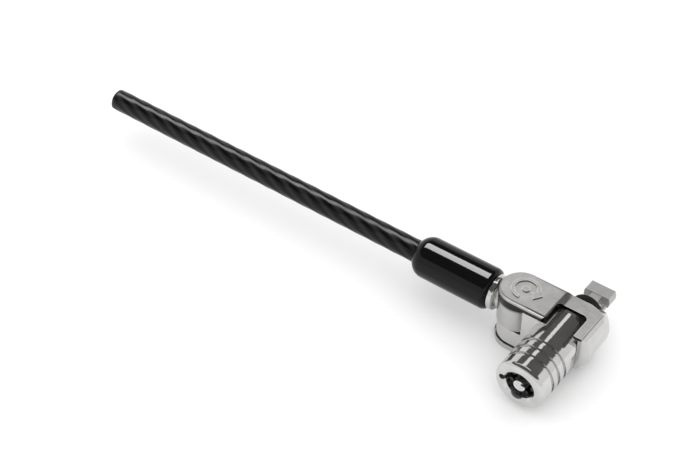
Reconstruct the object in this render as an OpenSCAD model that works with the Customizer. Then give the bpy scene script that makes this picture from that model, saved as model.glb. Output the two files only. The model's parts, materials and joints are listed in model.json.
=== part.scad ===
// Laptop cable lock: a tubular-key barrel that swings on a hinge pin, a turning T-bar for a
// 3 x 7 mm security slot, and a steel cable that swivels in the arm.
// Frame in mm: +Z up, the T-bar points along +Y, the cable runs along -X.
// Origin: on the T-bar axis, level with the hinge pin.

/* [Barrel] */
// Outer radius of the lock barrel
barrel_r = 6.1; // [5.9:0.05:6.1]
// Distance from the hinge line forward to the key face
barrel_reach = 19; // [18:0.5:26]
// Number of decorative grooves round the barrel
groove_count = 3; // [1:1:3]
// Depth of each groove
groove_depth = 0.4; // [0.2:0.05:0.6]
// Radius of the round keyway in the key face
keyway_r = 3.4; // [3.1:0.05:3.6]
// Number of key pins in the tubular lock
pin_count = 7; // [5:1:8]

/* [Head] */
// Distance between the hinge pin and the T-bar axis
hinge_offset = 11.5; // [11.5:0.1:12]
// Radius of the round housing behind the T-bar
housing_r = 7.55; // [7.3:0.05:7.55]
// Thickness of the top plate at the round end of the arm
plate_t = 1.4; // [1.2:0.1:2]
// Height of the raised mark on the arm
mark_h = 0.25; // [0.1:0.05:0.4]

/* [T-bar] */
// Length of the crossbar, to pass a 7 mm slot
crossbar_l = 6.6; // [6:0.1:6.7]
// Height of the crossbar, to pass a 3 mm slot
crossbar_h = 2.8; // [2.4:0.1:2.8]
// Wall thickness the T-bar can clamp
clamp_gap = 3.6; // [2.6:0.1:4]

/* [Cable] */
// Outside radius of the cable jacket
cable_r = 2.7; // [2.5:0.05:2.75]
// Length of cable beyond the boot
cable_l = 93; // [40:1:200]
// Length of the moulded boot
boot_l = 21; // [15:0.5:30]

/* [Hidden] */
$fn = 48;
pin_fn = 24;
gap = 0.05;
eps = 0.5;
far = 40;

// Heights: the barrel swings between the arm plate above and the floor below.
plate_z = 6.2;
plate_top = plate_z + plate_t;
floor_z = -6.2;
base_z = -7.6;

// Barrel, from the key face (front) to the rear face inside the head.
face_y = -barrel_reach;
rear_y = 3.6;
rim_round = 1.2;
mouth_chamfer = 0.55;
bore_r = 4.6;
groove_w = 1.0;
groove_pitch = 2.45;
first_groove = 3.6;
post_r = 1.4;
post_sink = 0.3;
post_notch = [2, 3, 0.7];
post_notch_x = 0.35;
notch_r = 0.75;
notch_reach = 4.1;
notch_mouth = 1.2;
notch_z = 0.5;
notch_l = 3.5;
shelf_y = face_y + 5.5;
flange_y = shelf_y + 0.1;
flange_gap = 0.08;
shear_y = flange_y + 3.4;
block_end_y = -4.1;
pin_circle = 2.7;
pin_r = 0.5;
pin_hole_r = 0.55;
key_pin_sink = 1.6;
driver_l = 2.4;
spring_l = 1.6;
spring_coils = 4;
shaft_r = 1.4;
tail_y = 2.4;
tail_r = 2.3;
tail_t = 1.0;
tail_square = 1.8;
tail_square_l = 0.8;
blade_end_y = 5.1;
blade_w = 3.6;
blade_t = 1.0;
relief_r = hinge_offset + 5.05;
lens_front_y = -6.2;
lens_rear_y = -4.1;
lens_x = 5.0;

// Arm plate: a round end over the hinge, and a neck and leg round the notch for the barrel.
arm_r = 5.2;
block_low = -1.2;
leg_left_x = 4.5;
leg_right_x = 6.5;
leg_rear_y = 4.2;
notch_left_x = -2.9;
notch_top_y = 1.4;
notch_round = 1.3;
corner_r = 0.9;
edge_round = 0.8;
neck_drop = 0.7;
neck_slope = [-3.2, -1.6];
neck_rear_x = 3.2;
mark_x = 0.9 - hinge_offset;
mark_r = 3.3;
mark_line = 0.8;
mark_dot_r = 0.9;
arrow_w = 2.6;
arrow_l = 1.9;
dowel_r = 0.4;
dowel_x = 2.4;
dowel_y = 4.3;
dowel_z = [4.2, 6.6];

// Hinge, and the link that carries the barrel.
hinge_pin_r = 1.4;
hinge_pin_top = 5;
hinge_head_r = 2.4;
hinge_head_t = 0.6;
hinge_washer_r = 3.2;
washer_t = 0.3;
eye_r = 4.9;
eye_low = floor_z + washer_t + gap;
eye_high = block_low - washer_t - gap;
web_top = 5.7;
web_left_x = -hinge_offset + 3.25;
web_right_x = -2;
web_front_y = -4.9;
web_rear_y = 3.4;
tongue = [2.95, 4, 3.2];
tongue_pos = [-6.15, -1.6, -4.1];
link_pin_r = 0.6;
link_pin_x = -4.3;
link_pin_y = 0.4;
link_pin_half_l = 3.6;

// Head housing round the T-bar axis.
seat_y = 3.75;
housing_front_y = -4.0;
housing_rear_y = 8.4;
housing_round = 2.6;
housing_lip = 2.0;
rear_slope = [[4.8, plate_z], [8.6, 3]];
shoulder_rear_y = 5.0;
shoulder_round = 3.4;
back_wall_w = 9;
foot_front_x = [-2.9, -1.9];
foot_right_x = 2.5;
back_wall_rear_y = 4.9;
cheek_x = 5.15;
hub_bore_r = 3.0;
hub_r = 2.9;
hub_front_y = 3.95;
hub_rear_y = 5.75;
bush_r = 1.85;
t_shaft_r = 1.3;
slot_depth = 1.3;
stop_pin_r = 0.4;
stop_pin_top = 5.6;
stop_groove_r = 2.1;
stop_y = 4.85;
hub_pin_r = 0.2;
guide_pin_r = 0.7;
guide_pin_x = 2.6;
guide_pin_y = [6.2, 12.6];
washer_r = 3.8;
washer_round = 0.6;
washer_rear_y = 10.3;
crossbar_y = washer_rear_y + clamp_gap;
crossbar_t = 3.1;
stem_w = 2.4;

// Cable swivel: its axis is level with the hinge pin and above the T-bar axis.
cable_z = 2.4;
boss_x = -hinge_offset - 5.3;
boss_inner_x = -hinge_offset - 2;
boss_r = 3.1;
collar_r = 4.2;
collar_w = 1.3;
collar_round = 0.5;
boot_r = 5.0;
boot_round = [3, 1.6];
boot_right_x = boss_x - gap - collar_w;
boot_left_x = boot_right_x - boot_l;
cable_end_x = boot_left_x - cable_l;
stem_r = 2.2;
stem_end_x = -13.3;
ring_x = -15.2;
ring_t = 0.6;
ring_r = 2.95;
ring_mouth = 2.2;
ring_room_l = 2.1;
ring_groove_r = 1.75;
crimp_r = 3.4;
crimp_l = 6;
rope_x = boot_right_x - 0.5;
strand_r = 0.6;
strand_count = 6;
strand_pitch_r = 1.22;
jacket_bore_r = 1.95;
squeezed_r = 2.4;

// ---------- helpers ----------

// Rod along Y on the T-bar axis.
module y_rod(r, y0, y1) {
    translate([0, y0, 0])
        rotate([-90, 0, 0])
            cylinder(r = r, h = y1 - y0);
}

// Rod along X on the cable axis.
module x_rod(r, x0, x1) {
    translate([x0, 0, cable_z])
        rotate([0, 90, 0])
            cylinder(r = r, h = x1 - x0);
}

// Rod along Z.
module z_rod(r, z0, z1) {
    translate([0, 0, z0])
        cylinder(r = r, h = z1 - z0);
}

// Turns a half profile (x = radius, y = distance) about the T-bar axis.
module turn_y() {
    rotate([-90, 0, 0])
        rotate_extrude()
            children();
}

// Turns a half profile (x = radius, y = distance) about the cable axis.
module turn_x() {
    translate([0, 0, cable_z])
        rotate([0, 90, 0])
            rotate_extrude()
                children();
}

// Draws the children at the hinge pin.
module at_hinge() {
    translate([-hinge_offset, 0, 0])
        children();
}

// Half profile of a round bar from y0 to y1 with its far corner rounded.
module rounded_profile(r, y0, y1, round) {
    translate([0, y0])
        square([r - round, y1 - y0]);
    translate([0, y0])
        square([r, y1 - y0 - round]);
    intersection() {
        translate([r - round, y1 - round])
            circle(r = round);
        translate([0, y0])
            square([r, y1 - y0]);
    }
}

// Copies the children round the T-bar axis, one for each key pin.
module round_pins() {
    for (i = [0 : pin_count - 1])
        rotate([0, 90 + (i + 0.5) * 360 / pin_count, 0])
            translate([pin_circle, 0, 0])
                children();
}

// ---------- head ----------

// Plan outline of the arm plate, seen from above.
module arm_outline() {
    difference() {
        union() {
            translate([-hinge_offset, 0])
                circle(r = arm_r);
            polygon([
                [-hinge_offset, -arm_r], [leg_right_x, -arm_r], [leg_right_x, leg_rear_y],
                [neck_rear_x, arm_r], [-hinge_offset, arm_r]
            ]);
        }
        notch_outline();
        // Rounds the free corner beside the notch.
        difference() {
            translate([notch_left_x - corner_r, -arm_r])
                square(corner_r);
            translate([notch_left_x - corner_r, -arm_r + corner_r])
                circle(r = corner_r);
        }
    }
}

// Bar with a round end over the hinge, and with its upper edges rounded.
module plate_blank() {
    at_hinge()
        rotate_extrude()
            rounded_profile(arm_r, plate_z, plate_top, edge_round);
    translate([-hinge_offset, 0, 0])
        rotate([90, 0, 90])
            linear_extrude(far)
                for (side = [0, 1])
                    mirror([side, 0])
                        rounded_profile(arm_r, plate_z, plate_top, edge_round);
}

// U-shaped notch that shows the top of the barrel.
module notch_outline() {
    notch_w = leg_left_x - notch_left_x;
    translate([notch_left_x, -far])
        square([notch_w, far + notch_top_y - notch_round]);
    translate([notch_left_x + notch_round, -far])
        square([notch_w - 2 * notch_round, far + notch_top_y]);
    for (x = [notch_left_x + notch_round, leg_left_x - notch_round])
        translate([x, notch_top_y - notch_round])
            circle(r = notch_round);
}

// Generic raised mark: an arrow that turns about a dot, for the swing of the barrel.
module swing_mark() {
    translate([mark_x, 0, plate_top - eps])
        linear_extrude(eps + mark_h) {
            circle(r = mark_dot_r);
            difference() {
                circle(r = mark_r);
                circle(r = mark_r - mark_line);
                polygon([[0, 0], [0, -far], [far, -far], [far, 0]]);
            }
            translate([mark_r - mark_line / 2, 0])
                polygon([[-arrow_w / 2, 0], [arrow_w / 2, 0], [0, -arrow_l]]);
        }
}

module arm_plate() {
    color("lightgray")
        difference() {
            union() {
                intersection() {
                    translate([0, 0, plate_z])
                        linear_extrude(plate_t)
                            arm_outline();
                    plate_blank();
                }
                swing_mark();
                at_hinge()
                    z_rod(arm_r, block_low, plate_z + eps);
                difference() {
                    x_rod(boss_r, boss_x, boss_inner_x);
                    translate([-far, -far, plate_z])
                        cube([far, 2 * far, far]);
                }
            }
            // The neck and leg sit a little lower than the round end.
            translate([0, far / 2, 0])
                rotate([90, 0, 0])
                    linear_extrude(far)
                        polygon([
                            [neck_slope[0], plate_top], [neck_slope[1], plate_top - neck_drop],
                            [far, plate_top - neck_drop], [far, far], [neck_slope[0], far]
                        ]);
            x_rod(stem_r + gap, boss_x - eps, ring_x);
            // Room for the retaining ring, open below so that the ring can be fitted.
            translate([ring_x - gap, -boss_r, block_low - eps])
                cube([ring_room_l, 2 * boss_r, cable_z + boss_r - block_low + eps]);
            at_hinge()
                z_rod(hinge_pin_r, block_low - eps, hinge_pin_top);
            arm_dowel_rods();
        }
}

module arm_dowel_rods() {
    for (x = [-dowel_x, dowel_x])
        translate([x, dowel_y, 0])
            z_rod(dowel_r, dowel_z[0], dowel_z[1], $fn = pin_fn);
}

module arm_dowels() {
    color("silver")
        arm_dowel_rods();
}

module head_housing() {
    color("gainsboro")
        difference() {
            union() {
                difference() {
                    union() {
                        turn_y()
                            housing_profile(housing_r, housing_rear_y, housing_round);
                        housing_shoulder();
                    }
                    above_housing();
                }
                housing_floor();
                housing_back_wall();
            }
            // Room for the barrel to swing in.
            translate([-far, -far, floor_z])
                cube([far + cheek_x, far + seat_y, far]);
            at_hinge()
                z_rod(arm_r, floor_z, far);
            y_rod(hub_bore_r, seat_y - eps, hub_rear_y + gap);
            y_rod(bush_r, hub_rear_y, housing_rear_y + eps);
            stop_pin_rod();
            arm_dowel_rods();
            guide_pin_rods();
            at_hinge() {
                z_rod(hinge_pin_r, base_z - eps, 0);
                z_rod(hinge_head_r, base_z - eps, base_z + hinge_head_t);
            }
        }
}

// Half profile of the housing up to rear_y, with both outer edges rounded.
module housing_profile(r, rear_y, round) {
    intersection() {
        rounded_profile(r, housing_front_y, rear_y, round);
        mirror([0, 1])
            rounded_profile(r, -rear_y, -housing_front_y, housing_lip);
    }
}

// Fuller shoulder below the leg of the arm plate, rounded seen from above and from the front.
module housing_shoulder() {
    intersection() {
        linear_extrude(plate_z)
            housing_profile(housing_r, shoulder_rear_y, housing_round);
        translate([0, far, 0])
            rotate([90, 0, 0])
                linear_extrude(2 * far)
                    rounded_profile(housing_r, 0, plate_z, shoulder_round);
    }
}

// Space over the housing: level under the arm plate, then sloping down behind it.
module above_housing() {
    translate([-far, 0, 0])
        rotate([90, 0, 90])
            linear_extrude(2 * far)
                polygon([
                    [-far, plate_z], rear_slope[0], rear_slope[1],
                    [far, rear_slope[1][1]], [far, far], [-far, far]
                ]);
}

// Flat foot under the hinge and the barrel's rear end.
module housing_floor() {
    translate([0, 0, base_z])
        linear_extrude(floor_z - base_z) {
            translate([-hinge_offset, 0])
                circle(r = arm_r);
            polygon([
                [-hinge_offset, -arm_r], [foot_front_x[0], -arm_r], [foot_front_x[1], housing_front_y],
                [foot_right_x, housing_front_y], [foot_right_x, back_wall_rear_y], [-hinge_offset, arm_r]
            ]);
        }
}

// Wall that joins the floor, the housing and the arm plate behind the barrel.
module housing_back_wall() {
    translate([-hinge_offset, seat_y, base_z])
        cube([back_wall_w, back_wall_rear_y - seat_y, plate_z - base_z]);
}

module hinge_pin() {
    color("dimgray")
        at_hinge() {
            z_rod(hinge_pin_r, base_z + hinge_head_t / 2, hinge_pin_top);
            z_rod(hinge_head_r, base_z, base_z + hinge_head_t);
        }
}

module hinge_washers() {
    color("goldenrod")
        at_hinge()
            for (z = [floor_z, block_low - washer_t])
                difference() {
                    z_rod(hinge_washer_r, z, z + washer_t);
                    z_rod(hinge_pin_r + gap, z - eps, z + washer_t + eps);
                }
}

module spindle_bush() {
    color("goldenrod")
        difference() {
            y_rod(bush_r, hub_rear_y + gap, housing_rear_y);
            y_rod(t_shaft_r + gap / 2, 0, far);
        }
}

module stop_pin_rod() {
    translate([0, stop_y, 0])
        z_rod(stop_pin_r, stop_groove_r + 2 * gap, stop_pin_top, $fn = pin_fn);
}

module stop_pin() {
    color("silver")
        stop_pin_rod();
}

module guide_pin_rods() {
    for (x = [-guide_pin_x, guide_pin_x])
        translate([x, 0, 0])
            y_rod(guide_pin_r, guide_pin_y[0], guide_pin_y[1], $fn = pin_fn);
}

module guide_pins() {
    color("silver")
        guide_pin_rods();
}

module rubber_washer() {
    color("#202020")
        difference() {
            turn_y()
                rounded_profile(washer_r, housing_rear_y, washer_rear_y, washer_round);
            y_rod(t_shaft_r + 2 * gap, 0, far);
            for (x = [-guide_pin_x, guide_pin_x])
                translate([x, 0, 0])
                    y_rod(guide_pin_r, 0, far, $fn = pin_fn);
        }
}

// ---------- T-bar ----------

module tbar() {
    color("darkgray")
        difference() {
            union() {
                y_rod(t_shaft_r, hub_front_y + slot_depth, washer_rear_y + eps);
                translate([-stem_w / 2, washer_rear_y, -stem_w / 2])
                    cube([stem_w, clamp_gap + eps, stem_w]);
                // The ends of the crossbar are round about the T-bar axis.
                intersection() {
                    translate([-far, crossbar_y, -crossbar_h / 2])
                        cube([2 * far, crossbar_t, crossbar_h]);
                    y_rod(crossbar_l / 2, crossbar_y, crossbar_y + crossbar_t);
                }
            }
            hub_pin_rod();
        }
}

// Cross-section of the drive hub with a quarter-turn groove for the stop pin.
module hub_section() {
    side = asin((stop_pin_r + gap) / stop_groove_r);
    difference() {
        circle(r = hub_r);
        intersection() {
            difference() {
                circle(r = hub_r + eps);
                circle(r = stop_groove_r);
            }
            polygon([
                [0, 0], far * [sin(side), cos(side)], far * [-1, 1],
                far * [-sin(90 + side), cos(90 + side)]
            ]);
        }
    }
}

module drive_hub() {
    color("slategray")
        difference() {
            translate([0, hub_rear_y, 0])
                rotate([90, 0, 0])
                    linear_extrude(hub_rear_y - hub_front_y)
                        hub_section();
            // Slot for the tail blade, open at both ends.
            translate([-far, hub_front_y - eps, -blade_t / 2 - gap])
                cube([2 * far, slot_depth + eps, blade_t + 2 * gap]);
            y_rod(t_shaft_r, hub_front_y + slot_depth, far);
            hub_pin_rod();
        }
}

// Cross pin that joins the hub to the T-bar shaft.
module hub_pin_rod() {
    translate([0, (hub_front_y + slot_depth + hub_rear_y) / 2, 0])
        z_rod(hub_pin_r, 2 * gap - stop_groove_r, stop_groove_r - 2 * gap, $fn = pin_fn);
}

module hub_pin() {
    color("silver")
        hub_pin_rod();
}

// ---------- barrel ----------

// Plan area the barrel may fill; the rest is cut away so it can swing past the housing.
module barrel_plan() {
    difference() {
        translate([-far, -far])
            square(2 * far);
        polygon([
            [barrel_r + eps, lens_front_y - eps * (lens_rear_y - lens_front_y) / (barrel_r - lens_x)],
            [lens_x, lens_rear_y], [far, lens_rear_y], [far, -far]
        ]);
        difference() {
            translate([0, lens_rear_y])
                square(far);
            translate([-hinge_offset, 0])
                circle(r = relief_r, $fn = 2 * $fn);
        }
    }
}

module barrel_relief() {
    translate([0, 0, -far / 2])
        linear_extrude(far)
            barrel_plan();
}

// Half profile of the barrel shell, with the keyway mouth, the rim and the grooves cut in.
module shell_profile() {
    difference() {
        union() {
            translate([keyway_r, face_y])
                square([bore_r - keyway_r + gap, shelf_y - face_y]);
            translate([bore_r, face_y])
                square([barrel_r - rim_round - bore_r, rear_y - face_y]);
            translate([bore_r, face_y + rim_round])
                square([barrel_r - bore_r, rear_y - face_y - rim_round]);
            translate([barrel_r - rim_round, face_y + rim_round])
                circle(r = rim_round);
        }
        polygon([
            [keyway_r - eps, face_y - eps], [keyway_r + mouth_chamfer + eps, face_y - eps],
            [keyway_r - eps, face_y + mouth_chamfer + eps]
        ]);
        for (i = [0 : groove_count - 1])
            translate([barrel_r - groove_depth, face_y + first_groove + i * groove_pitch])
                square([barrel_r, groove_w]);
    }
}

// Rounded locating notch beside the keyway.
module keyway_notch() {
    translate([-notch_reach, 0, notch_z])
        y_rod(notch_r, face_y - eps, face_y + notch_l, $fn = pin_fn);
    translate([-notch_reach, face_y - eps, notch_z - notch_mouth / 2])
        cube([notch_reach, notch_l + eps, notch_mouth]);
}

module tongue_block() {
    translate(tongue_pos)
        cube(tongue);
}

module link_pin_rod() {
    translate([link_pin_x, link_pin_y, 0])
        z_rod(link_pin_r, -link_pin_half_l, link_pin_half_l, $fn = pin_fn);
}

module barrel_shell() {
    color("silver")
        difference() {
            intersection() {
                turn_y()
                    shell_profile();
                barrel_relief();
            }
            keyway_notch();
            tongue_block();
            link_pin_rod();
        }
}

module rear_plug() {
    color("dimgray")
        difference() {
            intersection() {
                y_rod(bore_r, block_end_y, rear_y);
                barrel_relief();
            }
            y_rod(shaft_r + gap, block_end_y - eps, far);
            y_rod(tail_r + 2 * gap, tail_y - 2 * gap, far);
            tongue_block();
            link_pin_rod();
        }
}

// Block of the link from x0 to the barrel, up to the height z1.
module link_web(x0, z1) {
    translate([x0, web_front_y, eye_low])
        cube([web_right_x - x0, web_rear_y - web_front_y, z1 - eye_low]);
}

// Link from the barrel to the hinge: a low eye, a web beside the arm and a tongue in the barrel.
module barrel_link() {
    color("lightgray") {
        difference() {
            union() {
                at_hinge()
                    z_rod(eye_r, eye_low, eye_high);
                link_web(-hinge_offset, eye_high);
                // The upper web starts clear of the cable boss when the barrel is swung round.
                difference() {
                    link_web(web_left_x, web_top);
                    at_hinge()
                        z_rod(arm_r + 2 * gap, -far, far);
                }
            }
            at_hinge()
                z_rod(hinge_pin_r + gap, -far, far);
            y_rod(barrel_r, -far, far);
        }
        difference() {
            tongue_block();
            link_pin_rod();
        }
    }
}

module link_pin() {
    color("silver")
        link_pin_rod();
}

module pin_block() {
    color("goldenrod")
        difference() {
            y_rod(bore_r, shear_y + gap, block_end_y);
            y_rod(shaft_r + gap, -far, far);
            round_pins()
                y_rod(pin_hole_r, shear_y, shear_y + gap + driver_l + spring_l, $fn = pin_fn);
        }
}

module driver_pins() {
    color("silver")
        round_pins()
            y_rod(pin_r, shear_y + gap, shear_y + gap + driver_l, $fn = pin_fn);
}

// One close-wound spring drawn as a ribbed tube.
module pin_spring() {
    wire_r = spring_l / spring_coils / 2;
    turn_y() {
        for (i = [0 : spring_coils - 1])
            translate([pin_r - wire_r, shear_y + gap + driver_l + (2 * i + 1) * wire_r])
                circle(r = wire_r, $fn = 16);
        translate([pin_r - 1.5 * wire_r, shear_y + gap + driver_l + wire_r])
            square([wire_r, spring_l - 2 * wire_r]);
    }
}

module pin_springs() {
    color("gray")
        round_pins()
            pin_spring($fn = pin_fn);
}

// ---------- core ----------

module lock_core() {
    color("silver")
        difference() {
            union() {
                y_rod(post_r, face_y + post_sink, flange_y + eps);
                y_rod(bore_r - flange_gap, flange_y, shear_y);
                y_rod(shaft_r, shear_y - eps, tail_y);
                tail_square_block();
            }
            // Key notch in the end of the centre post.
            translate([post_notch_x, face_y, post_notch_x])
                cube(post_notch);
            round_pins()
                y_rod(pin_hole_r, flange_y - eps, shear_y + eps, $fn = pin_fn);
        }
}

module key_pins() {
    color("gray")
        round_pins()
            y_rod(pin_r, face_y + key_pin_sink, shear_y, $fn = pin_fn);
}

// Square end of the core that the tail blade is pressed onto.
module tail_square_block() {
    translate([-tail_square / 2, tail_y - eps, -tail_square / 2])
        cube([tail_square, tail_square_l + eps, tail_square]);
}

module tail_blade() {
    color("dimgray")
        difference() {
            union() {
                y_rod(tail_r, tail_y, tail_y + tail_t);
                translate([-blade_w / 2, tail_y + tail_t / 2, -blade_t / 2])
                    cube([blade_w, blade_end_y - tail_y - tail_t / 2, blade_t]);
            }
            tail_square_block();
        }
}

// ---------- cable ----------

module swivel_stem() {
    color("silver")
        difference() {
            union() {
                x_rod(stem_r, boot_right_x, stem_end_x);
                x_rod(crimp_r, boot_right_x - crimp_l, boot_right_x);
            }
            x_rod(squeezed_r, boot_right_x - crimp_l - eps, rope_x);
            difference() {
                x_rod(stem_r + eps, ring_x, ring_x + ring_t);
                x_rod(ring_groove_r, ring_x - eps, ring_x + ring_t + eps);
            }
        }
}

// Open retaining ring in the groove of the stem.
module swivel_ring() {
    color("dimgray")
        difference() {
            x_rod(ring_r, ring_x, ring_x + ring_t);
            x_rod(ring_groove_r, ring_x - eps, ring_x + ring_t + eps);
            translate([ring_x - eps, -ring_mouth / 2, cable_z - far])
                cube([ring_t + 2 * eps, ring_mouth, far]);
        }
}

module swivel_collar() {
    color("silver")
        difference() {
            turn_x()
                rounded_profile(collar_r, boot_right_x, boot_right_x + collar_w, collar_round);
            x_rod(stem_r, -far, 0);
        }
}

module cable_boot() {
    color("#101010")
        difference() {
            turn_x() {
                rounded_profile(boot_r, boot_left_x + boot_l / 2, boot_right_x, boot_round[1]);
                mirror([0, 1])
                    rounded_profile(boot_r, -boot_left_x - boot_l / 2, -boot_left_x, boot_round[0]);
            }
            x_rod(squeezed_r, boot_left_x - eps, boot_right_x - crimp_l + eps);
            x_rod(crimp_r, boot_right_x - crimp_l, boot_right_x + eps);
        }
}

module cable_jacket() {
    color("#181818")
        difference() {
            union() {
                x_rod(cable_r, cable_end_x, boot_left_x);
                // The boot is moulded tightly round the jacket.
                x_rod(squeezed_r, boot_left_x - eps, rope_x);
            }
            x_rod(jacket_bore_r, cable_end_x - eps, rope_x + eps);
        }
}

// Steel strands inside the jacket: one in the centre and the rest round it.
module wire_rope() {
    color("gray") {
        x_rod(strand_r, cable_end_x, rope_x, $fn = pin_fn);
        for (i = [1 : strand_count]) {
            turn = i * 360 / strand_count;
            translate(strand_pitch_r * [0, cos(turn), sin(turn)])
                x_rod(strand_r, cable_end_x, rope_x, $fn = pin_fn);
        }
    }
}

head_housing();
arm_plate();
arm_dowels();
hinge_pin();
hinge_washers();
spindle_bush();
stop_pin();
guide_pins();
rubber_washer();
tbar();
drive_hub();
hub_pin();
barrel_shell();
rear_plug();
barrel_link();
link_pin();
pin_block();
driver_pins();
pin_springs();
lock_core();
key_pins();
tail_blade();
swivel_stem();
swivel_ring();
swivel_collar();
cable_boot();
cable_jacket();
wire_rope();
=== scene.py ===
"""Visual model of a laptop cable lock: chrome head, satin arm plate, glossy boot and smoked cable.

Metres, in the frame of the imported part: the T-bar points along +Y, the cable runs along -X and +Z
is up. Sizes whose names end in mm are in millimetres.
"""

import json
import math

import bmesh
import bpy
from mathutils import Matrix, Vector


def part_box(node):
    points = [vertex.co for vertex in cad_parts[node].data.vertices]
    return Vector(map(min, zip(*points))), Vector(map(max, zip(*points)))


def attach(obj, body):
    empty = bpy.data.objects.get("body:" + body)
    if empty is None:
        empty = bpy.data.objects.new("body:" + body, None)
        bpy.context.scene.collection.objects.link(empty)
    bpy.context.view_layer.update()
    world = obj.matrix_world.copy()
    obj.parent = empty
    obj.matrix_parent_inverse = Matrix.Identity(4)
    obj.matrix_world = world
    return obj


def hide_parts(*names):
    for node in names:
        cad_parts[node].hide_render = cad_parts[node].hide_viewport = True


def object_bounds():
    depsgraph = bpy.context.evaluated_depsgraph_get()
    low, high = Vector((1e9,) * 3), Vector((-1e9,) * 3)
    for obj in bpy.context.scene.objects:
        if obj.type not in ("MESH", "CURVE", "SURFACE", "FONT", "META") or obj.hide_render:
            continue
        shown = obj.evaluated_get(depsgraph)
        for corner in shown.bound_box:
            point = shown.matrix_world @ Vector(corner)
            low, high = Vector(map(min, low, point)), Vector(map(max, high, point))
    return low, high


MM = 0.001

# Camera of the reference view.
CAMERA_AZIMUTH = math.radians(36.94)
CAMERA_ELEVATION = math.radians(43.03)
CAMERA_LENS = 82.4
CAMERA_SENSOR = 36
CAMERA_NEAR = 10 * MM
CAMERA_PLACE = Vector((100.6, -215.6, 250.2)) * MM

# Light from all round, which shiny surfaces mirror as white walls under a dark, warm ceiling. The
# ceiling starts where a mirrored ray climbs this much for its length.
SURROUND_LIGHT = 1.4
CEILING_COLOUR = (0.07, 0.065, 0.062)
CEILING_EDGE = (0.48, 0.5)

# Softboxes, in metres and all at one height: pieces that mirror it, centre, size and brightness.
SOFTBOX_HEIGHT = 0.6
SOFTBOXES = {
    "chrome_strip": ("chrome", (-0.18, 0.36), (0.16, 0.48), 1.1),
    "rim_strip": ("chrome", (-0.25, 0.10), (0.90, 0.10), 1.8),
    "edge_strip": ("satin", (-0.40, -0.50), (1.00, 0.35), 4.0),
    "boot_strip": ("boot", (-0.24, 0.17), (0.60, 0.36), 30.0),
    "jacket_strip": ("jacket", (-0.45, 0.17), (0.70, 0.32), 14.0),
    "satin_panel": ("satin", (-0.40, 0.42), (0.60, 0.50), 1.7),
}

FLOOR_COLOUR = (0.86, 0.86, 0.86)
FLOOR_REACH = 3.0

# Colours of the metals and plastics, and roughness of the satin and polished faces.
CHROME = (0.58, 0.575, 0.57)
SINTERED = (0.5, 0.495, 0.49)
CORE_STEEL = (0.62, 0.62, 0.62)
PLAIN_STEEL = (0.5, 0.5, 0.51)
# Painted shade: the keyway pins are coloured dark for the shade deep in the keyway.
PIN_STEEL_PAINTED_SHADE = (0.06, 0.06, 0.062)
ROPE_STEEL = (0.42, 0.42, 0.43)
BRASS = (0.62, 0.45, 0.2)
RUBBER = (0.008, 0.008, 0.009)
BLACK = (0.003, 0.003, 0.003)
JACKET_BAND = (0.022, 0.022, 0.023)
SATIN = (0.42, 0.412, 0.402)
SATIN_ROUGHNESS = 0.38
POLISHED_SIDE = (0.6, 0.595, 0.59)
PLATE_SIDE = (0.5, 0.495, 0.49)
# Painted shade along the top of the arm plate's polished sides.
PLATE_PAINTED_SHADE = (0.03, 0.03, 0.03)
POLISHED_ROUGHNESS = 0.12

# How far the lines in a metal are drawn out along each axis.
BRUSHED = (14, 1, 1)
TURNED = (1, 8, 1)
DRAWN = (8, 1, 1)

# Painted shade: the polished sides of the arm plate turn dark as they rise through these heights.
PLATE_PAINTED_SHADE_MM = (4.4, 5.2)

# Upward part of the normal over which a face goes from polished side to satin top. On the arm plate
# the rounded edges stay satin too.
LEVEL_FACE = (0.9, 0.97)
LEVEL_FACE_OR_EDGE = (0.1, 0.35)

# Width in mm of the rounding on the hard edges of the CAD nodes.
BEVELS_MM = {
    "arm_plate": 0.3,
    "tbar": 0.7,
    "barrel_shell": 0.08,
    "head_housing": 0.12,
    "barrel_link": 0.15,
    "rubber_washer": 0.1,
    "guide_pins": 0.12,
    "lock_core": 0.08,
    "hinge_pin": 0.1,
    "swivel_collar": 0.1,
}
SAME_POINT_MM = 0.002

# Cable: strands twisted round a straight one, and the jacket that swells over each of them.
STRANDS = 6
LAY_MM = 32.0
ROPE_PER_STRAND = 3.04
WIRES = 6
WIRE_RELIEF = 0.16
WIRE_TURNS_PER_LAY = 4
ROPE_STEP_MM = 0.8
JACKET_WAVE_MM = 0.06
JACKET_STEP_MM = 0.7
JACKET_ROOM_MM = 0.1

# Boot: rounding at the cable and at the head, wall at the head, and the ridge where the moulds met.
BOOT_CABLE_ROUND_MM = 3.4
BOOT_HEAD_ROUND_MM = 1.6
BOOT_WALL_MM = 0.9
SEAM_MM = 0.05
SEAM_SPREAD = 0.05
SEAM_BAND_MM = 0.3

# Pin springs.
SPRING_COILS = 5
SPRING_WIRE_MM = 0.11
STEPS_PER_COIL = 20


# ---------- material helpers ----------


def new_material(name, colour, metallic, roughness):
    """A node material with a plain start: returns the material, its tree and its shader."""
    material = bpy.data.materials.new(name)
    material.use_nodes = True
    tree = material.node_tree
    shader = tree.nodes["Principled BSDF"]
    shader.inputs["Base Color"].default_value = (*colour, 1)
    shader.inputs["Metallic"].default_value = metallic
    shader.inputs["Roughness"].default_value = roughness
    return material, tree, shader


def toned(colour, factor):
    """The colour made lighter or darker by a factor, but never past white."""
    return [min(channel * factor, 1) for channel in colour]


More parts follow.
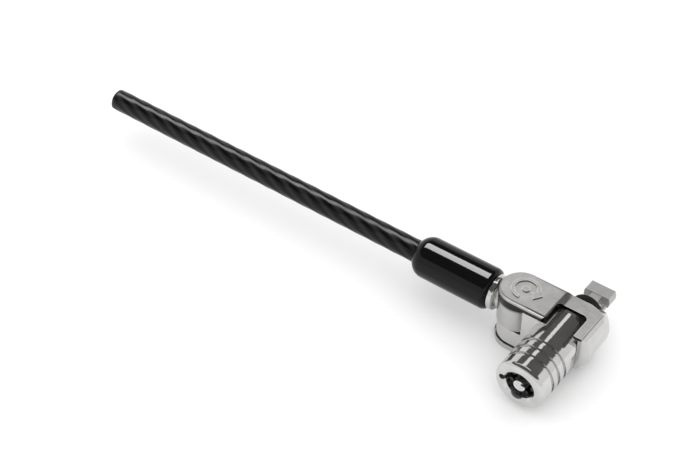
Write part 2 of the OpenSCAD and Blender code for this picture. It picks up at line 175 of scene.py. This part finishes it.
def object_noise(tree, scale_mm, stretch=(1, 1, 1), detail=3.0):
    """Noise in object space, about scale_mm wide and drawn out along each axis by stretch."""
    place = tree.nodes.new("ShaderNodeTexCoord")
    mapping = tree.nodes.new("ShaderNodeMapping")
    mapping.inputs["Scale"].default_value = [1 / s for s in stretch]
    noise = tree.nodes.new("ShaderNodeTexNoise")
    noise.inputs["Scale"].default_value = 1 / (scale_mm * MM)
    noise.inputs["Detail"].default_value = detail
    tree.links.new(place.outputs["Object"], mapping.inputs["Vector"])
    tree.links.new(mapping.outputs["Vector"], noise.inputs["Vector"])
    return noise.outputs["Fac"]


def spread(tree, value, low, high, start=0.3, end=0.7):
    """Maps a value from start..end to low..high."""
    node = tree.nodes.new("ShaderNodeMapRange")
    node.inputs["From Min"].default_value = start
    node.inputs["From Max"].default_value = end
    node.inputs["To Min"].default_value = low
    node.inputs["To Max"].default_value = high
    tree.links.new(value, node.inputs["Value"])
    return node.outputs["Result"]


def blend_colour(tree, value, low, high, start=0.3, end=0.7):
    """Colour that runs from low to high as the value goes from start to end."""
    ramp = tree.nodes.new("ShaderNodeValToRGB")
    ramp.color_ramp.elements[0].position = start
    ramp.color_ramp.elements[0].color = (*low, 1)
    ramp.color_ramp.elements[1].position = end
    ramp.color_ramp.elements[1].color = (*high, 1)
    tree.links.new(value, ramp.inputs["Fac"])
    return ramp.outputs["Color"]


def math_node(tree, operation, first, second=None):
    """A math node on two values, each a number or an output."""
    node = tree.nodes.new("ShaderNodeMath")
    node.operation = operation
    for slot, value in zip(node.inputs, (first, second)):
        if isinstance(value, (int, float)):
            slot.default_value = value
        elif value is not None:
            tree.links.new(value, slot)
    return node.outputs["Value"]


def add_bumps(tree, shader, *layers):
    """Chains bumps on the shader; each layer is (height output, depth in mm)."""
    normal = None
    for height, depth_mm in layers:
        bump = tree.nodes.new("ShaderNodeBump")
        bump.inputs["Distance"].default_value = depth_mm * MM
        tree.links.new(height, bump.inputs["Height"])
        if normal is not None:
            tree.links.new(normal, bump.inputs["Normal"])
        normal = bump.outputs["Normal"]
    tree.links.new(normal, shader.inputs["Normal"])


def worn_and_highlit_edges(tree, colour, worn_and_highlit_tone, radius_mm=0.35):
    """Colour that turns to the edge tone along sharp edges: wear and a painted highlight."""
    bevel = tree.nodes.new("ShaderNodeBevel")
    bevel.inputs["Radius"].default_value = radius_mm * MM
    geometry = tree.nodes.new("ShaderNodeNewGeometry")
    facing = tree.nodes.new("ShaderNodeVectorMath")
    facing.operation = "DOT_PRODUCT"
    tree.links.new(bevel.outputs["Normal"], facing.inputs[0])
    tree.links.new(geometry.outputs["Normal"], facing.inputs[1])
    mix = tree.nodes.new("ShaderNodeMix")
    mix.data_type = "RGBA"
    edge = spread(tree, facing.outputs["Value"], 1.0, 0.0, start=0.8, end=1.0)
    tree.links.new(edge, mix.inputs["Factor"])
    tree.links.new(colour, mix.inputs["A"])
    mix.inputs["B"].default_value = (*worn_and_highlit_tone, 1)
    return mix.outputs["Result"]


def mix_by_slope(tree, socket, side, level_from):
    """Gives the socket the side value, or what already feeds it where the surface is level.

    The side is a value or an output. The change runs over level_from, the upward part of the
    normal.
    """
    geometry = tree.nodes.new("ShaderNodeNewGeometry")
    parts = tree.nodes.new("ShaderNodeSeparateXYZ")
    tree.links.new(geometry.outputs["Normal"], parts.inputs["Vector"])
    level = spread(tree, parts.outputs["Z"], 0.0, 1.0, *level_from)
    mix = tree.nodes.new("ShaderNodeMix")
    mix.data_type = "RGBA" if socket.type == "RGBA" else "FLOAT"
    steep_end, level_end = [end for end in mix.inputs if end.enabled and end.name in "AB"]
    if isinstance(side, bpy.types.NodeSocket):
        tree.links.new(side, steep_end)
    else:
        steep_end.default_value = side
    tree.links.new(level, mix.inputs["Factor"])
    tree.links.new(socket.links[0].from_socket, level_end)
    result = next(output for output in mix.outputs if output.enabled)
    tree.links.new(result, socket)


# ---------- materials ----------


def chrome(name, colour, roughness, ripple_mm):
    """Plated metal: a faint ripple, hairline scratches and a dull film that varies a little."""
    material, tree, shader = new_material(name, colour, metallic=0.94, roughness=roughness)
    film = object_noise(tree, scale_mm=3.0)
    hairlines = object_noise(tree, scale_mm=0.12, stretch=(12, 1, 1), detail=2.0)
    ripple = object_noise(tree, scale_mm=0.55, detail=3.0)
    grain = object_noise(tree, scale_mm=0.09, detail=1.0)
    dullness = spread(tree, film, roughness * 0.7, roughness * 1.5)
    tree.links.new(dullness, shader.inputs["Roughness"])
    plated = blend_colour(tree, film, toned(colour, 0.9), colour)
    tree.links.new(plated, shader.inputs["Base Color"])
    hairline_mm = grain_mm = 0.0004
    add_bumps(tree, shader, (ripple, ripple_mm), (hairlines, hairline_mm), (grain, grain_mm))
    return material


def brushed(name, colour, roughness, along=BRUSHED, line_mm=0.11, depth_mm=0.004):
    """Brushed metal: fine lines along one axis, cloudy tone, edges of wear and painted highlight.
    """
    material, tree, shader = new_material(name, colour, metallic=1.0, roughness=roughness)
    lines = object_noise(tree, scale_mm=line_mm, stretch=along, detail=4.0)
    clouds = object_noise(tree, scale_mm=2.2, detail=2.0)
    line_part = math_node(tree, "MULTIPLY", lines, 0.6)
    cloud_part = math_node(tree, "MULTIPLY", clouds, 0.4)
    tone = math_node(tree, "ADD", line_part, cloud_part)
    base = blend_colour(tree, tone, toned(colour, 0.74), toned(colour, 1.2))
    # Brighter edges: partly wear, partly a painted highlight.
    rubbed_and_highlit = worn_and_highlit_edges(tree, base, toned(colour, 1.8))
    tree.links.new(rubbed_and_highlit, shader.inputs["Base Color"])
    dullness = spread(tree, lines, roughness * 0.85, roughness * 1.15)
    tree.links.new(dullness, shader.inputs["Roughness"])
    add_bumps(tree, shader, (lines, depth_mm))
    return material


def satin_topped(name):
    """Metal brushed to satin on its level faces and polished round its sides."""
    material = brushed(name, SATIN, SATIN_ROUGHNESS)
    tree = material.node_tree
    shader = tree.nodes["Principled BSDF"]
    mix_by_slope(tree, shader.inputs["Base Color"], (*POLISHED_SIDE, 1), LEVEL_FACE)
    mix_by_slope(tree, shader.inputs["Roughness"], POLISHED_ROUGHNESS, LEVEL_FACE)
    return material


def painted_shade_rimmed(name):
    """Satin metal for the arm plate, with painted shade that darkens its polished sides along the
    top.
    """
    material = brushed(name, SATIN, SATIN_ROUGHNESS)
    tree = material.node_tree
    shader = tree.nodes["Principled BSDF"]
    place = tree.nodes.new("ShaderNodeTexCoord")
    parts = tree.nodes.new("ShaderNodeSeparateXYZ")
    tree.links.new(place.outputs["Object"], parts.inputs["Vector"])
    low, high = (height * MM for height in PLATE_PAINTED_SHADE_MM)
    up_the_side = spread(tree, parts.outputs["Z"], 0, 1, start=low, end=high)
    # The polished side darkens towards its top: painted shade.
    side = blend_colour(tree, up_the_side, PLATE_SIDE, PLATE_PAINTED_SHADE, start=0, end=1)
    mix_by_slope(tree, shader.inputs["Base Color"], side, LEVEL_FACE_OR_EDGE)
    mix_by_slope(tree, shader.inputs["Roughness"], POLISHED_ROUGHNESS, LEVEL_FACE_OR_EDGE)
    return material


def cast_steel(name, colour, roughness):
    """Sintered steel: matte, with a fine sandy grain."""
    material, tree, shader = new_material(name, colour, metallic=1.0, roughness=roughness)
    sand = object_noise(tree, scale_mm=0.12, detail=2.0)
    patches = object_noise(tree, scale_mm=1.4, detail=3.0)
    base = blend_colour(tree, patches, toned(colour, 0.85), toned(colour, 1.12))
    # Brighter edges: partly wear, partly a painted highlight.
    rubbed_and_highlit = worn_and_highlit_edges(tree, base, toned(colour, 1.3), radius_mm=0.25)
    tree.links.new(rubbed_and_highlit, shader.inputs["Base Color"])
    dullness = spread(tree, patches, roughness * 0.9, roughness * 1.15)
    tree.links.new(dullness, shader.inputs["Roughness"])
    sand_mm = 0.006
    add_bumps(tree, shader, (sand, sand_mm))
    return material


def moulded(name, colour, roughness, grain_mm, depth_mm, shine):
    """Moulded rubber or plastic with a fine surface grain and slight smears."""
    material, tree, shader = new_material(name, colour, metallic=0.0, roughness=roughness)
    shader.inputs["Specular IOR Level"].default_value = shine
    grain = object_noise(tree, scale_mm=grain_mm, detail=2.0)
    smears = object_noise(tree, scale_mm=4.0, stretch=(3, 1, 1), detail=3.0)
    smeared = blend_colour(tree, smears, colour, toned(colour, 1.5))
    tree.links.new(smeared, shader.inputs["Base Color"])
    dullness = spread(tree, smears, roughness * 0.8, roughness * 1.35)
    tree.links.new(dullness, shader.inputs["Roughness"])
    add_bumps(tree, shader, (grain, depth_mm))
    return material


def smoked_jacket(name, dark, banded, shine):
    """Glossy, smoky jacket: the lay of the steel strands shows through as faint slanting bands.

    The mesh's UV map holds the turn round the cable and the turns of the lay along it.
    """
    material, tree, shader = new_material(name, dark, metallic=0.0, roughness=POLISHED_ROUGHNESS)
    shader.inputs["Specular IOR Level"].default_value = shine
    uv = tree.nodes.new("ShaderNodeUVMap")
    parts = tree.nodes.new("ShaderNodeSeparateXYZ")
    tree.links.new(uv.outputs["UV"], parts.inputs["Vector"])
    lay = math_node(tree, "SUBTRACT", parts.outputs["X"], parts.outputs["Y"])
    strand_turn = math_node(tree, "MULTIPLY", lay, STRANDS)
    strand = math_node(tree, "PINGPONG", strand_turn, 0.5)
    haze = object_noise(tree, scale_mm=1.6, stretch=(3, 1, 1), detail=3.0)
    clarity = math_node(tree, "ADD", haze, 0.35)
    bands = math_node(tree, "MULTIPLY", strand, clarity)
    colour = blend_colour(tree, bands, dark, banded, start=0.12, end=0.5)
    tree.links.new(colour, shader.inputs["Base Color"])
    tree.links.new(spread(tree, haze, 0.14, 0.3), shader.inputs["Roughness"])
    ripple = object_noise(tree, scale_mm=1.1, stretch=(2, 1, 1), detail=2.0)
    ripple_mm = 0.02
    add_bumps(tree, shader, (ripple, ripple_mm))
    return material


# ---------- mesh helpers ----------


def mesh_object(name, verts, faces, material, smooth=True):
    """A mesh object in the row frame, in metres, with one material."""
    mesh = bpy.data.meshes.new(name)
    mesh.from_pydata(verts, [], faces)
    mesh.materials.append(material)
    mesh.polygons.foreach_set("use_smooth", [smooth] * len(mesh.polygons))
    mesh.update()
    piece = bpy.data.objects.new(name, mesh)
    bpy.context.scene.collection.objects.link(piece)
    return piece


def ring_faces(rings, sides, closed):
    """Quads between rings of points; closed joins the last ring to the first."""
    faces = []
    for i in range(rings if closed else rings - 1):
        for j in range(sides):
            k = (j + 1) % sides
            a, b = i * sides, (i + 1) % rings * sides
            faces.append((a + j, a + k, b + k, b + j))
    return faces


def capped_tube(first, rings, sides):
    """Faces of a closed tube whose rings of points start at the vertex called first."""
    faces = [tuple(first + vert for vert in face) for face in ring_faces(rings, sides, False)]
    last = first + (rings - 1) * sides
    faces.append(tuple(first + j for j in reversed(range(sides))))
    faces.append(tuple(last + j for j in range(sides)))
    return faces


def arc(centre, radius, start, end, steps=10):
    """Points on an arc in (along, radius) space; angles in degrees from the +along direction."""
    turns = [math.radians(start + (end - start) * i / steps) for i in range(steps + 1)]
    return [(centre[0] + radius * math.cos(t), centre[1] + radius * math.sin(t)) for t in turns]


def outward(piece):
    """Turns every face of the piece to point out."""
    mesh = bmesh.new()
    mesh.from_mesh(piece.data)
    bmesh.ops.recalc_face_normals(mesh, faces=mesh.faces)
    mesh.to_mesh(piece.data)
    mesh.free()


def add_modifier(piece, kind, **settings):
    """Adds a modifier with the given settings."""
    modifier = piece.modifiers.new(kind.title(), kind)
    for key, value in settings.items():
        setattr(modifier, key, value)


def finish_edges(piece, width_mm):
    """Rounds the hard edges of a CAD node and keeps its flat faces flat."""
    add_modifier(piece, "WELD", merge_threshold=SAME_POINT_MM * MM)
    add_modifier(piece, "DECIMATE", decimate_type="DISSOLVE", angle_limit=math.radians(0.6))
    add_modifier(
        piece,
        "BEVEL",
        width=width_mm * MM,
        segments=3,
        limit_method="ANGLE",
        angle_limit=math.radians(35),
        use_clamp_overlap=True,
    )
    add_modifier(piece, "WEIGHTED_NORMAL", keep_sharp=False, weight=80)
    piece.data.polygons.foreach_set("use_smooth", [True] * len(piece.data.polygons))


# ---------- cable ----------


def helix_rings(x_start, x_end, axis, ring_step, sides, outline, lay):
    """Rings of points along X; outline(turn) gives the radius at a turn, and the lay twists it."""
    count = max(2, int((x_end - x_start) / ring_step) + 1)
    verts = []
    for i in range(count):
        x = x_start + (x_end - x_start) * i / (count - 1)
        twist = 2 * math.pi * x / lay
        for j in range(sides):
            turn = 2 * math.pi * j / sides
            r = outline(turn - twist)
            verts.append((x, axis.y + r * math.cos(turn), axis.z + r * math.sin(turn)))
    return verts, count


def build_jacket(material, low, high, bore, lay):
    """The jacket as a tube that swells gently over each strand, open at its cut end."""
    sides = 72
    axis = (low + high) / 2
    radius = (high.z - low.z) / 2
    wave = JACKET_WAVE_MM * MM
    step = JACKET_STEP_MM * MM

    def outer(turn):
        return radius - wave * (0.5 - 0.5 * math.cos(STRANDS * turn))

    skin, rings = helix_rings(low.x, high.x, axis, step, sides, outer, lay)
    inside, _ = helix_rings(low.x, high.x, axis, step, sides, lambda turn: bore, lay)
    tube = ring_faces(rings, sides, False)
    shift = len(skin)
    faces = tube + [tuple(shift + vert for vert in reversed(face)) for face in tube]
    for ring in (0, rings - 1):
        for j in range(sides):
            k = (j + 1) % sides
            a, b = ring * sides + j, ring * sides + k
            rim = (a, shift + a, shift + b, b)
            faces.append(rim if ring else tuple(reversed(rim)))
    piece = mesh_object("cable_jacket_skin", skin + inside, faces, material)
    outward(piece)
    write_lay_uv(piece, axis, lay)
    return piece


def write_lay_uv(piece, axis, lay):
    """UV map with the turn round the cable and the number of lays along it."""
    layer = piece.data.uv_layers.new(name="lay")
    verts = piece.data.vertices
    for face in piece.data.polygons:
        points = [verts[piece.data.loops[index].vertex_index].co for index in face.loop_indices]
        turns = [math.atan2(co.z - axis.z, co.y - axis.y) / (2 * math.pi) for co in points]
        # On a face across the join, the turns just below zero count on past a half.
        wraps = max(turns) - min(turns) > 0.5
        for index, co, turn in zip(face.loop_indices, points, turns):
            if wraps and turn < 0:
                turn += 1
            layer.data[index].uv = (turn, co.x / lay)


def build_rope(material, low, high, lay):
    """Seven strands of seven wires: six strands twist round a straight one."""
    axis = (low + high) / 2
    radius = (high.z - low.z) / 2
    strand_r = radius / ROPE_PER_STRAND
    pitch_r = radius - strand_r
    sides = 36
    count = int((high.x - low.x) / (ROPE_STEP_MM * MM)) + 1
    verts, faces = [], []
    for strand in range(STRANDS + 1):
        first = len(verts)
        centre_r = pitch_r if strand else 0.0
        for i in range(count):
            x = low.x + (high.x - low.x) * i / (count - 1)
            turn = 2 * math.pi * (x / lay + strand / STRANDS)
            y = axis.y + centre_r * math.cos(turn)
            z = axis.z + centre_r * math.sin(turn)
            for j in range(sides):
                angle = 2 * math.pi * j / sides
                lobes = abs(math.cos(WIRES / 2 * (angle + WIRE_TURNS_PER_LAY * turn)))
                r = strand_r * (1 - WIRE_RELIEF + WIRE_RELIEF * lobes)
                verts.append((x, y + r * math.cos(angle), z + r * math.sin(angle)))
        faces += capped_tube(first, count, sides)
    piece = mesh_object("wire_rope_strands", verts, faces, material)
    outward(piece)
    return piece


def build_boot(material, low, high, cable_r):
    """The moulded boot: a rounded sleeve that meets the cable at one end, with two mould seams."""
    axis = (low + high) / 2
    radius = (high.z - low.z) / 2
    big, small = BOOT_CABLE_ROUND_MM * MM, BOOT_HEAD_ROUND_MM * MM
    profile = [(high.x, cable_r + BOOT_WALL_MM * MM), (high.x, radius - small)]
    profile += arc((high.x - small, radius - small), small, 0, 90)
    meets_cable = 180 - math.degrees(math.asin((cable_r - radius + big) / big))
    profile += arc((low.x + big, radius - big), big, 90, meets_cable, 16)
    sides = 96
    verts = []
    for along, r in profile:
        for j in range(sides):
            turn = 2 * math.pi * j / sides
            # The two mould halves meet in a low ridge on either side.
            ridge = math.exp(-((math.sin(turn) / SEAM_SPREAD) ** 2)) * SEAM_MM * MM
            reach = r + (ridge if r > radius - SEAM_BAND_MM * MM else 0)
            verts.append((along, axis.y + reach * math.cos(turn), axis.z + reach * math.sin(turn)))
    faces = ring_faces(len(profile), sides, True)
    piece = mesh_object("cable_boot_moulding", verts, faces, material)
    outward(piece)
    return piece


# ---------- pin springs ----------


def solid_boxes(piece):
    """Low and high corner of each separate solid in a CAD node, in the row frame."""
    mesh = bmesh.new()
    mesh.from_mesh(piece.data)
    mesh.transform(piece.matrix_world)
    bmesh.ops.remove_doubles(mesh, verts=mesh.verts, dist=SAME_POINT_MM * MM)
    waiting = set(mesh.verts)
    boxes = []
    while waiting:
        reached = [waiting.pop()]
        points = []
        while reached:
            vert = reached.pop()
            points.append(vert.co.copy())
            for edge in vert.link_edges:
                other = edge.other_vert(vert)
                if other in waiting:
                    waiting.remove(other)
                    reached.append(other)
        low = Vector(min(point[axis] for point in points) for axis in range(3))
        high = Vector(max(point[axis] for point in points) for axis in range(3))
        boxes.append((low, high))
    mesh.free()
    return sorted(boxes, key=lambda box: (round(box[0].x, 6), round(box[0].z, 6)))


def build_springs(material, boxes):
    """One coil spring of round wire in each box, wound about the box's Y axis."""
    wire = SPRING_WIRE_MM * MM
    sides = 8
    steps = STEPS_PER_COIL * SPRING_COILS
    verts, faces = [], []
    for low, high in boxes:
        first = len(verts)
        middle = (low + high) / 2
        coil_r = (high.x - low.x) / 2 - wire
        for i in range(steps + 1):
            turn = 2 * math.pi * SPRING_COILS * i / steps
            along = low.y + wire + (high.y - low.y - 2 * wire) * i / steps
            for j in range(sides):
                angle = 2 * math.pi * j / sides
                reach = coil_r + wire * math.cos(angle)
                x = middle.x + reach * math.cos(turn)
                z = middle.z + reach * math.sin(turn)
                verts.append((x, along + wire * math.sin(angle), z))
        faces += capped_tube(first, steps + 1, sides)
    piece = mesh_object("pin_spring_coils", verts, faces, material)
    outward(piece)
    return piece


# ---------- stage ----------


def build_world():
    """White all round, except that shiny surfaces mirror a dark warm ceiling."""
    world = bpy.data.worlds.new("studio")
    world.use_nodes = True
    # Only rays that leave a surface look the world up, so each kind of ray gets its own colour.
    world.cycles.sampling_method = "NONE"
    tree = world.node_tree
    place = tree.nodes.new("ShaderNodeTexCoord")
    parts = tree.nodes.new("ShaderNodeSeparateXYZ")
    tree.links.new(place.outputs["Generated"], parts.inputs["Vector"])
    mirrored = blend_colour(tree, parts.outputs["Z"], (1, 1, 1), CEILING_COLOUR, *CEILING_EDGE)
    path = tree.nodes.new("ShaderNodeLightPath")
    mix = tree.nodes.new("ShaderNodeMix")
    mix.data_type = "RGBA"
    mix.inputs["A"].default_value = (*[SURROUND_LIGHT] * 3, 1)
    tree.links.new(path.outputs["Is Glossy Ray"], mix.inputs["Factor"])
    tree.links.new(mirrored, mix.inputs["B"])
    tree.links.new(mix.outputs["Result"], tree.nodes["Background"].inputs["Color"])
    bpy.context.scene.world = world


def add_softbox(name, centre, size, radiance, pieces):
    """A level softbox facing down that shows only as a reflection in the given pieces."""
    light = bpy.data.lights.new(name, "AREA")
    light.shape = "RECTANGLE"
    light.size, light.size_y = size
    light.energy = radiance * math.pi * size[0] * size[1]
    lamp = bpy.data.objects.new(name, light)
    lamp.location = (*centre, SOFTBOX_HEIGHT)
    lamp.visible_diffuse = False
    bpy.context.scene.collection.objects.link(lamp)
    receivers = bpy.data.collections.new(name + "_receivers")
    for piece in pieces:
        receivers.objects.link(piece)
    lamp.light_linking.receiver_collection = receivers


def build_floor(height):
    """Pale floor plane under the object."""
    material, _, shader = new_material("pale_floor", FLOOR_COLOUR, metallic=0.0, roughness=0.9)
    shader.inputs["Specular IOR Level"].default_value = 0
    signs = ((-1, -1), (1, -1), (1, 1), (-1, 1))
    corners = [(x * FLOOR_REACH, y * FLOOR_REACH, height) for x, y in signs]
    floor = mesh_object("floor", corners, [(0, 1, 2, 3)], material, smooth=False)


def build_camera():
    """Camera at the reference view."""
    camera = bpy.data.cameras.new("camera")
    camera.lens = CAMERA_LENS
    camera.sensor_width = CAMERA_SENSOR
    camera.clip_start = CAMERA_NEAR
    holder = bpy.data.objects.new("camera", camera)
    holder.location = CAMERA_PLACE
    holder.rotation_euler = (math.pi / 2 - CAMERA_ELEVATION, 0, CAMERA_AZIMUTH)
    bpy.context.scene.collection.objects.link(holder)
    bpy.context.scene.camera = holder


# ---------- build ----------

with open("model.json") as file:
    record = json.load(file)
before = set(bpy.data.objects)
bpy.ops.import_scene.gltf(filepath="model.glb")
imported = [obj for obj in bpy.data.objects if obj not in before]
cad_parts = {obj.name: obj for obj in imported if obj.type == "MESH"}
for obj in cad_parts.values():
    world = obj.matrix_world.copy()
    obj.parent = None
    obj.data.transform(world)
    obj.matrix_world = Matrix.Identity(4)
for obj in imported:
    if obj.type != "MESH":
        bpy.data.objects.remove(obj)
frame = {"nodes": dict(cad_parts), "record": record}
nodes = frame["nodes"]
cad_low, cad_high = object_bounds()

finishes = {
    "polished_chrome": chrome("polished_chrome", CHROME, roughness=0.07, ripple_mm=0.009),
    "satin_metal": satin_topped("satin_metal"),
    "tbar_steel": cast_steel("tbar_steel", SINTERED, roughness=0.5),
    "core_steel": brushed("core_steel", CORE_STEEL, 0.3, along=(1, 1, 1), line_mm=0.2),
    "plain_steel": brushed("plain_steel", PLAIN_STEEL, 0.35, along=TURNED),
    "rope_steel": brushed("rope_steel", ROPE_STEEL, 0.4, along=DRAWN),
    "brass": brushed("brass", BRASS, 0.35, along=TURNED),
    "washer_rubber": moulded(
        "washer_rubber", RUBBER, roughness=0.7, grain_mm=0.15, depth_mm=0.006, shine=0.25
    ),
    "boot_plastic": moulded(
        "boot_plastic", BLACK, roughness=0.06, grain_mm=0.3, depth_mm=0.0006, shine=0.18
    ),
    "jacket_plastic": smoked_jacket("jacket_plastic", BLACK, JACKET_BAND, shine=0.16),
}
slots = {part["node"]: part["material_slot"] for part in frame["record"]["subparts"]}
looks = {name: finishes[slot] for name, slot in slots.items()}
# The arm plate's polished sides carry painted shade along their top.
looks["arm_plate"] = painted_shade_rimmed("plate_metal_painted_shade")
# The keyway pins get a dark colour as painted shade.
looks["key_pins"] = brushed("pin_steel_painted_shade", PIN_STEEL_PAINTED_SHADE, 0.35)
for name, node in nodes.items():
    node.data.materials.clear()
    node.data.materials.append(looks[name])
for name, width_mm in BEVELS_MM.items():
    finish_edges(nodes[name], width_mm)

lay = LAY_MM * MM
rope_low, rope_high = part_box("wire_rope")
rope = build_rope(finishes["rope_steel"], rope_low, rope_high, lay)
jacket_low, jacket_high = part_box("cable_jacket")
jacket_bore = (rope_high.z - rope_low.z) / 2 + JACKET_ROOM_MM * MM
jacket = build_jacket(finishes["jacket_plastic"], jacket_low, jacket_high, jacket_bore, lay)
boot_low, boot_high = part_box("cable_boot")
cable_r = (jacket_high.z - jacket_low.z) / 2
boot = build_boot(finishes["boot_plastic"], boot_low, boot_high, cable_r)
springs = build_springs(finishes["plain_steel"], solid_boxes(nodes["pin_springs"]))
for piece, node, body in (
    (jacket, "cable_jacket", "cable"),
    (rope, "wire_rope", "cable"),
    (boot, "cable_boot", "cable"),
    (springs, "pin_springs", "barrel"),
):
    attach(piece, body)
    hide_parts(node)

build_world()
build_floor(cad_low.z)
build_camera()
satin_slots = ("satin_metal", "tbar_steel")
receivers = {
    "chrome": [node for name, node in nodes.items() if slots[name] == "polished_chrome"],
    "satin": [node for name, node in nodes.items() if slots[name] in satin_slots],
    "boot": [boot],
    "jacket": [jacket],
}
for name, (group, centre, size, radiance) in SOFTBOXES.items():
    add_softbox(name, centre, size, radiance, receivers[group])
bpy.context.scene.view_settings.view_transform = "Standard"
